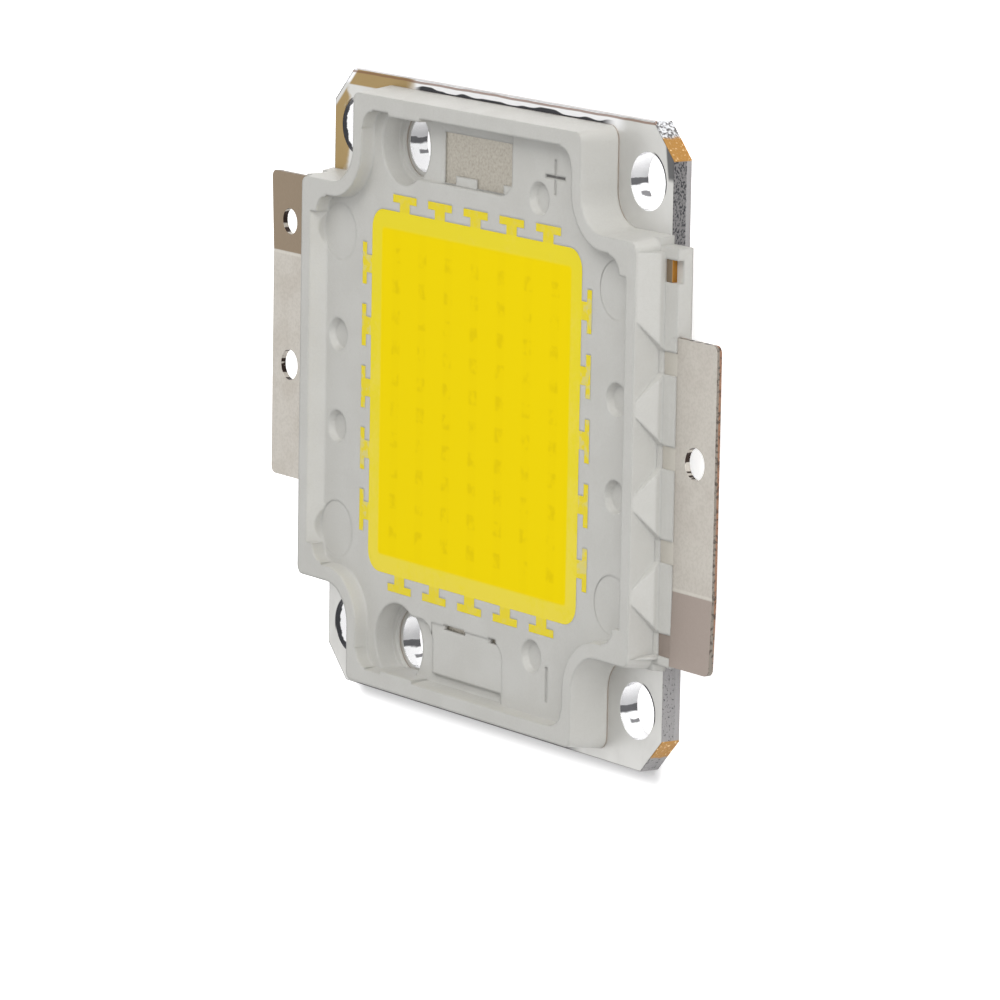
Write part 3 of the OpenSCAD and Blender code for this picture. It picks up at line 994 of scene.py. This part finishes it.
    def _cut_edges(self) -> tuple[Socket, Socket]:
        """Finds the edges that the stamping left.

        Returns:
            Masks of the four straight edges and of the four chamfers.
        """
        g, layout = self.g, self.layout
        sides = g.past(g.wide, layout.plate.x, self.rim)
        ends = g.past(g.high, layout.plate.y, self.rim)
        return g.either(sides, ends), g.past(g.add(g.wide, g.high), layout.corner, self.slant)

    def _bright_parts(self) -> Socket:
        """Finds the bright nickel along the upper edge and in the screw holes.

        Returns:
            Its mask.
        """
        g = self.g
        strip = g.both(g.ramp(g.y, self.strip_y), g.ramp(g.x, self.strip_x))
        return g.either(strip, self._walls())

    def _foot_gap_shade(self) -> Socket:
        """Draws painted shadow in the uneven gap along the foot of the frame's upper arm.

        Returns:
            Its mask.
        """
        g, layout = self.g, self.layout
        waves = g.ramp(g.noise(self.gap_noise), self.gap_waves)
        outline = g.add(g.both(waves, self.gap_rise), layout.frame.y + self.gap_low)
        below = g.ramp(g.less(g.y, outline), self.gap_border)
        right = g.past(g.x, layout.arm_x, self.gap_right)
        along = g.both(g.ramp(g.x, self.gap_left), right)
        return g.both(below, along, g.ramp(g.y, self.gap_y), self._front())

    def _torn_part(self) -> Socket:
        """Draws the front of the cut edges, where the metal tore, most of it high up.

        Returns:
            Its mask.
        """
        g = self.g
        amount = g.blend(g.ramp(g.y, self.torn_y), *self.torn_cover)
        return g.both(g.ramp(g.z, self.torn_z), amount)

    def _top_line(self) -> Socket:
        """Draws the thin brown line between the front face and the upper cut edge.

        Returns:
            Its mask.
        """
        g, plate = self.g, self.layout.plate
        wave = g.sway(g.noise(self.line_noise), self.line_wave)
        outwards = g.add(g.less(g.y, wave), g.z)
        line = g.near(outwards, plate.y + plate.z - self.line_depth, self.line)
        return g.both(line, g.past(g.y, plate.y, self.line_y), self.line_cover)

    def _pits(self, cut: Socket) -> Socket:
        """Draws black pits on the torn part of the cut edges, most of them high up.

        Args:
            cut: Mask of the cut edges.

        Returns:
            Their mask.
        """
        g = self.g
        torn = g.both(cut, g.ramp(g.z, self.pit_z), self._below_top())
        gain = g.both(g.ramp(g.y, self.pit_y), self.pit_gain)
        pits = g.ramp(g.add(g.noise(self.pit_noise), gain), self.pits)
        return g.both(torn, pits, g.outside(self._spared()))

    def _past_hole(self) -> Socket:
        """Distance above the middle of the nearer corner hole."""
        g = self.g
        return g.less(g.y, g.both(g.math("SIGN", g.y), self.layout.hole_place[1]))

    def _bore_reflections(self) -> Socket:
        """Draws painted dark reflections, in bands round the polished walls of the screw holes.

        Returns:
            Their mask.
        """
        g = self.g
        noise = g.noise(self.band_noise)
        rise = g.add(self._past_hole(), g.sway(noise, self.band_wave))
        upper = g.both(*(g.ramp(rise, span) for span in self.upper_band), self.upper_cover)
        low = g.both(g.stripe(rise, self.low_band), g.ramp(g.z, self.low_z))
        bands = g.either(upper, g.stripe(rise, self.middle_band), low)
        front = g.ramp(g.add(g.z, g.both(noise, self.lip_wave)), self.lip_z)
        lip = g.both(g.ramp(g.x, self.lip_x), front)
        return g.either(g.both(bands, g.ramp(g.x, self.band_x)), lip)

    def _mouth_reflections(self) -> Socket:
        """Draws a painted dark reflection, a line on the outer rim of each corner screw hole.

        Returns:
            Their mask.
        """
        g, layout = self.g, self.layout
        out, rise = g.less(g.wide, layout.hole_place[0]), self._past_hole()
        away = g.math("SQRT", g.add(g.both(out, out), g.both(rise, rise)))
        ring = g.near(away, layout.hole_r + self.mouth_out, self.mouth)
        side = g.ramp(g.add(out, g.both(rise, self.mouth_lean)), self.mouth_side)
        return g.both(ring, g.past(g.z, layout.plate.z, self.mouth_z), side)

    def _shaded_face(self) -> Socket:
        """Draws the dark strip under the lower arm and a dark sliver in one corner.

        Returns:
            Their mask.
        """
        g = self.g
        along = g.both(g.ramp(g.x, self.shade_left), g.ramp(g.x, self.shade_right))
        strip = g.both(g.past(g.y, -self.layout.plate.y, self.shade_y), along, self.shade_cover)
        across = g.ramp(g.add(g.both(g.y, self.sliver_lean), g.x), self.sliver)
        ends = g.both(g.ramp(g.y, self.sliver_low), g.ramp(g.y, self.sliver_high))
        sliver = g.both(across, ends, self.sliver_cover)
        return g.both(g.either(strip, sliver), self._front())

    def _brownish_parts(self, ragged: Socket) -> Socket:
        """Draws brown along the left edge and the left end of the top edge.

        Args:
            ragged: How far its border is moved.

        Returns:
            Its mask.
        """
        g = self.g
        moved = g.add(g.x, ragged)
        side, top = (
            g.both(g.ramp(moved, across), g.ramp(g.y, upwards))
            for across, upwards in (self.brownish_side, self.brownish_top)
        )
        inside = g.past(g.less(g.y, g.x), self.layout.corner, self.brownish_corner)
        return g.both(g.either(side, top), inside)

    def _bare_corner(self, ragged: Socket) -> Socket:
        """Draws bare copper on the outer part of the right-hand chamfers.

        Args:
            ragged: How far its border is moved.

        Returns:
            Its mask.
        """
        g = self.g
        outer = g.ramp(g.add(g.high, g.both(ragged, self.bare_ragged)), self.bare_y)
        return g.both(outer, g.ramp(g.x, self.bare_x))


@dataclass
class Lead(SubAssembly):
    """Tinned sheet, painted darker past the crease of its tab as a painted reflection, and coppery
    on its cut edges.

    Args:
        pole: The lead's pole.
        end_len: Length of its tab's bent end.
        finish: Its colours.
    """

    pole: Pole
    end_len: float
    finish: Tinning
    edge: Span = (0.7, 0.3)  # of how far a surface looks up or down
    warm: Span = (0.42, 0.66)  # of the blotches
    warm_cover: float = 0.14
    grit: Span = (0.42, 0.62)  # of the speckles
    grit_cover: Ends = (0.12, 0.45)  # off the pad and on it
    grains: Span = (0.1, 0.9)  # of the speckles
    pad_x: Span = (5.0, 4.8)
    pad_y: Span = (-0.1, 0.0)  # past the pad's beginning
    pad_cover: float = 0.85
    notch_start: Span = (-3.0, -2.5)  # past the frame's side
    notch_end: Span = (0.04, -0.04)  # past the frame's side
    veil_and_light_cover: float = 0.85
    bend: Span = (0.0, 0.06)  # past the crease
    crease_shift: float = -0.1  # of the pale line, past the crease
    crease_line: Span = (0.11, 0.05)  # from the line's middle
    crease_cover: float = 0.6
    worn_noise: Noise = Noise(4.0, 4.0)
    worn: Span = (0.5, 0.62)  # of its noise
    worn_cover: float = 0.75
    front_z: Span = (-0.03, 0.03)  # past the middle of the sheet
    front_wave: float = 0.04
    end_x: Span = (3.6, 3.7)  # past the frame's side
    end_cover: float = 0.92
    side_x: Span = (0.0, 0.1)  # past the frame's side
    side_cover: float = 0.7
    glint_noise: Noise = Noise(1.8, 2.0, (1.0, 1.0, 0.3))
    glints: Span = (0.5, 0.56)  # of their noise
    bore_out: float = 2.0  # of the holes, past the frame's side
    bore_x: Span = (1.2, 1.15)  # from the holes' middle line
    bore_y: Span = (11.2, 11.0)
    tie_x: Span = (-18.0, -18.5)  # towards the lead's own side

    def paint(self) -> None:
        """Builds the material."""
        g, finish = self.g, self.finish
        edge = g.ramp(g.size(g.up), self.edge)
        pad = self._pad()
        wear = g.group(self.groups.wear, {
            "Place": g.place,
            "Roughening": g.blend(pad, *finish.bump),
            "Edge Normal": g.soft_edge(finish.edge_mm),
        })
        speckle = wear.outputs["Speckle"]
        warm = g.both(g.ramp(wear.outputs["Blotch"], self.warm), self.warm_cover)
        grit = g.both(g.ramp(speckle, self.grit), g.blend(pad, *self.grit_cover))
        grains = g.mix(g.ramp(speckle, self.grains), finish.grit, finish.bare)
        colour = g.layers(
            finish.tin,
            (warm, finish.blotch_and_end_reflection),
            (grit, finish.grit),
            (g.both(pad, self.pad_cover), grains),
            # thin plastic veil in the notches, with painted light over their shade
            (self._veiled_and_lit(), finish.veil_and_light),
            # painted highlight along the crease of the tab
            (self._crease_line(), finish.veil_and_light),
            # painted reflection: the bent end is darker past the crease
            (self._past_crease(), finish.blotch_and_end_reflection),
            *self._cut_layers(edge),
        )
        g.finish({
            "Base Color": colour,
            "Metallic": g.blend(g.either(edge, pad), *finish.metal),
            "Roughness": g.blend(speckle, *finish.roughness),
            "Normal": wear.outputs["Normal"],
        })

    def _pad(self) -> Socket:
        """Mask of the raised contact pad."""
        g = self.g
        return g.both(g.past(g.high, self.layout.pad_y, self.pad_y), g.ramp(g.wide, self.pad_x))

    def _tab(self) -> Socket:
        """Mask of the lead from the frame's notch outwards."""
        return self.g.past(self.g.wide, self.layout.frame.x, self.notch_start)

    def _veiled_and_lit(self) -> Socket:
        """Mask of the lead in the frame's notches, under a thin veil of plastic and painted paler
        as painted light over the shade there.
        """
        in_notch = self.g.past(self.g.wide, self.layout.frame.x, self.notch_end)
        return self.g.both(in_notch, self._tab(), self.veil_and_light_cover)

    def _past_middle(self) -> tuple[Socket, float]:
        """Measures along the tab, towards its bent end.

        Returns:
            Distance from the module's middle, and that distance at the crease.
        """
        along = self.g.both(self.g.y, -float(self.pole.value))
        return along, self.layout.tab_end - self.end_len

    def _past_crease(self) -> Socket:
        """Mask of the bent end of the tab, painted darker as a painted reflection."""
        return self.g.both(self.g.past(*self._past_middle(), self.bend), self._tab())

    def _crease_line(self) -> Socket:
        """Draws the painted highlight, a pale line along the crease of the tab.

        Returns:
            Its mask.
        """
        along, crease = self._past_middle()
        line = self.g.near(along, crease + self.crease_shift, self.crease_line)
        return self.g.both(line, self.crease_cover)

    def _bores(self) -> Socket:
        """Finds the holes in the tab.

        Returns:
            Their mask.
        """
        g = self.g
        inner = g.near(g.wide, self.layout.frame.x + self.bore_out, self.bore_x)
        return g.both(inner, g.ramp(g.high, self.bore_y))

    def _cut_layers(self, edge: Socket) -> list[Layer]:
        """Colours the cut edges: brown and pitted on the tab, painted dark reflections with
        painted glints in its holes, fresh on the tie bar's end.

        Args:
            edge: Mask of the cut edges.

        Returns:
            The layers of colour, from the lowest up.
        """
        g, finish, reach = self.g, self.finish, self.layout.frame.x
        worn = g.ramp(g.noise(self.worn_noise), self.worn)
        wavy = g.add(g.z, g.both(worn, self.front_wave))
        front = g.past(wavy, self.layout.lead_z, self.front_z)
        bare = g.mix(front, finish.copper, finish.torn)
        brown = g.mix(g.both(worn, self.worn_cover), bare, finish.pit_and_shade)
        glints = g.ramp(g.noise(self.glint_noise), self.glints)
        bores = self._bores()
        end = g.both(edge, g.past(g.wide, reach, self.end_x), self.end_cover)
        sides = g.both(edge, g.past(g.wide, reach, self.side_x), g.outside(bores), self.side_cover)
        tie = g.both(edge, g.ramp(g.both(g.x, float(self.pole.value)), self.tie_x))
        return [
            (end, brown),
            (sides, brown),
            # painted dark reflections with painted glints on the walls of the tab's holes
            (g.both(edge, bores), g.mix(glints, finish.pit_and_shade, finish.tin)),
            (tie, finish.fresh_copper),
        ]


@dataclass
class SmallPieces(SubAssembly):
    """Repeated small pieces with a clouded finish.

    Args:
        finish: Their finish.
    """

    finish: Clouded

    def paint(self) -> None:
        """Builds the material."""
        g, finish = self.g, self.finish
        tone = g.noise(finish.clouds)
        g.finish({
            "Base Color": g.mix(tone, finish.dark, finish.pale),
            "Roughness": g.blend(tone, *finish.roughness),
            "Metallic": finish.metal,
        })


@dataclass
class LedModule:
    """The whole module.

    Args:
        layout: Its sizes.
        anode_end_reflection: Colour of the bent end of the tab on the left, a painted darker
            reflection.
        anode_end: Length of that end.
        cathode_end_reflection: Colour of the bent end of the tab on the right, a painted darker
            reflection.
        cathode_end: Length of that end.
    """

    layout: Layout
    anode_end_reflection: Rgb = display(136, 120, 100)
    anode_end: float = 5.25
    cathode_end_reflection: Rgb = display(154, 142, 134)
    cathode_end: float = 4.65

    def build(self) -> None:
        """Dresses every piece, from the plate up."""
        kit = (self.layout, GroupLibrary())
        anode = (Pole.ANODE, self.anode_end, Tinning(self.anode_end_reflection))
        cathode = (Pole.CATHODE, self.cathode_end, Tinning(self.cathode_end_reflection))
        numbers = range(1, self.layout.strings + 1)
        strings = [f"die_string_{number}" for number in numbers]
        wires = [f"bond_wires_{number}" for number in numbers]
        parts = (
            BasePlate("plated_copper", ["base_plate"], *kit),
            PlasticFrame("moulded_plastic", ["frame"], *kit),
            Lead("tinned_lead_anode", ["anode_lead"], *kit, *anode),
            Lead("tinned_lead_cathode", ["cathode_lead"], *kit, *cathode),
            PhosphorLayer("phosphor_silicone", ["phosphor"], *kit),
            SmallPieces("die_crystal", strings, *kit, CRYSTAL),
            SmallPieces("gold_wire", wires, *kit, GOLD),
        )
        for part in parts:
            part.dress()


# ---------------------------------------------------------------- studio


@dataclass(frozen=True)
class CameraPlan:
    """Where the camera stands, how it is turned and what it takes in."""

    place: Vector = Vector((0.344343, 0.065423, 0.235951))
    right: Vector = Vector((0.561551, 0.017204, -0.827263))
    up: Vector = Vector((-0.148610, 0.985624, -0.080380))
    back: Vector = Vector((0.813987, 0.168077, 0.556035))
    lens: float = 242.09
    sensor: float = 36.0
    clip: tuple[float, float] = (0.01, 10.0)


@dataclass(frozen=True)
class Lamp:
    """A square lamp that points at the module."""

    name: str
    place: Vector
    size: float
    power: float
    colour: Rgb = WHITE


@dataclass(frozen=True)
class Table:
    """The white table, which also glows, save in a band under the lower edge.

    Args:
        colour: Colour of its surface.
        half: Half of its side.
        drop: Distance of the table below the module.
        glow: Light that the eye sees outside the band.
        low_glow: Light that it sees in the band, where the shadow lies.
        band_top: Upper border of the band, in millimetres.
        band_foot: Lower border of the band, in millimetres.
        band_x: Its two ends, in millimetres from the middle.
    """

    colour: Rgb = (0.93, 0.92, 0.91)
    half: float = 3.0
    drop: float = 0.01 * MM
    glow: float = 0.70
    low_glow: float = 0.02
    band_top: Span = (-17.0, -18.5)
    band_foot: Span = (-21.8, -20.3)
    band_x: Span = (18.0, 16.0)


class Studio:
    """Camera, table, world and lamps."""

    lamps = (
        Lamp("key", Vector((0.05, 0.50, 0.38)), 0.40, 2.05, (1.0, 0.99, 0.97)),
        Lamp("side", Vector((0.42, 0.16, 0.28)), 0.35, 1.08, (0.97, 0.98, 1.0)),
        Lamp("fill", Vector((0.45, -0.24, 0.20)), 0.40, 0.68),
        Lamp("left", Vector((-0.50, -0.12, 0.36)), 0.50, 0.25),
    )
    sky: Rgb = (0.97, 0.98, 1.0)
    sky_strength: float = 0.44

    def build(self) -> None:
        """Makes everything round the module."""
        self._camera(CameraPlan())
        self._table(Table())
        self._world()
        for lamp in self.lamps:
            self._lamp(lamp)
        bpy.context.scene.view_settings.view_transform = "Standard"

    @staticmethod
    def _camera(plan: CameraPlan) -> None:
        """Makes the camera.

        Args:
            plan: Its place, turn and lens.
        """
        data = bpy.data.cameras.new("camera")
        data.lens = plan.lens
        data.sensor_width = plan.sensor
        data.clip_start, data.clip_end = plan.clip
        camera = bpy.data.objects.new("camera", data)
        turn = Matrix((plan.right, plan.up, plan.back)).transposed().to_4x4()
        camera.matrix_world = Matrix.Translation(plan.place) @ turn
        bpy.context.scene.collection.objects.link(camera)
        bpy.context.scene.camera = camera

    @staticmethod
    def _seen(g: Graph) -> Socket:
        """Finds what the camera sees, straight, in a mirror or through glass.

        Args:
            g: Graph of the material or of the world.

        Returns:
            1 for it, and 0 for what only lights other things.
        """
        path = g.node("ShaderNodeLightPath").outputs
        kinds = ("Is Camera Ray", "Is Glossy Ray", "Is Transmission Ray")
        return g.either(*(path[kind] for kind in kinds))

    def _table(self, plan: Table) -> None:
        """Makes the table.

        Args:
            plan: Its size and its light.
        """
        mesh = bpy.data.meshes.new("table")
        made = bmesh.new()
        bmesh.ops.create_grid(made, x_segments=1, y_segments=1, size=plan.half)
        made.to_mesh(mesh)
        made.free()
        table = bpy.data.objects.new("table", mesh)
        table.location.z = -plan.drop
        bpy.context.scene.collection.objects.link(table)
        mesh.materials.append(self._table_white(plan))

    def _table_white(self, plan: Table) -> bpy.types.Material:
        """Makes the material of the table.

        Args:
            plan: Its colour and its light.

        Returns:
            The material.
        """
        material = bpy.data.materials.new("table_white")
        material.use_nodes = True
        g = Graph(material.node_tree)
        g.tree.nodes.clear()
        level = g.both(g.ramp(g.y, plan.band_top), g.ramp(g.y, plan.band_foot))
        band = g.both(level, g.near(g.x, 0.0, plan.band_x))
        glow = g.blend(band, plan.glow, plan.low_glow)
        diffuse = g.node("ShaderNodeBsdfDiffuse", {"Color": plan.colour})
        light = g.node("ShaderNodeEmission", {"Strength": g.both(self._seen(g), glow)})
        total = g.node("ShaderNodeAddShader", {0: diffuse.outputs[0], 1: light.outputs[0]})
        g.node("ShaderNodeOutputMaterial", {"Surface": total.outputs[0]})
        return material

    def _world(self) -> None:
        """Makes the world: white to the eye, softer as a light."""
        world = bpy.data.worlds.new("studio")
        bpy.context.scene.world = world
        world.use_nodes = True
        g = Graph(world.node_tree)
        g.tree.nodes.clear()
        sky, white = (
            g.node("ShaderNodeBackground", {"Color": colour, "Strength": strength}).outputs[0]
            for colour, strength in ((self.sky, self.sky_strength), (WHITE, 1.0))
        )
        mixed = g.node("ShaderNodeMixShader", {0: self._seen(g), 1: sky, 2: white})
        g.node("ShaderNodeOutputWorld", {"Surface": mixed.outputs[0]})

    @staticmethod
    def _lamp(plan: Lamp) -> None:
        """Makes one lamp.

        Args:
            plan: Its place, size and light.
        """
        data = bpy.data.lights.new(plan.name, "AREA")
        data.shape = "SQUARE"
        data.size = plan.size
        data.energy = plan.power
        data.color = plan.colour
        lamp = bpy.data.objects.new(plan.name, data)
        lamp.location = plan.place
        lamp.rotation_mode = "QUATERNION"
        lamp.rotation_quaternion = (-plan.place).to_track_quat("-Z", "Y")
        bpy.context.scene.collection.objects.link(lamp)


def main() -> None:
    """Builds the scene."""
    logging.basicConfig(level=logging.INFO)
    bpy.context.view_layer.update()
    LedModule(Layout.read()).build()
    Studio().build()
    LOG.info("scene built")


if __name__ == "__main__":
    main()
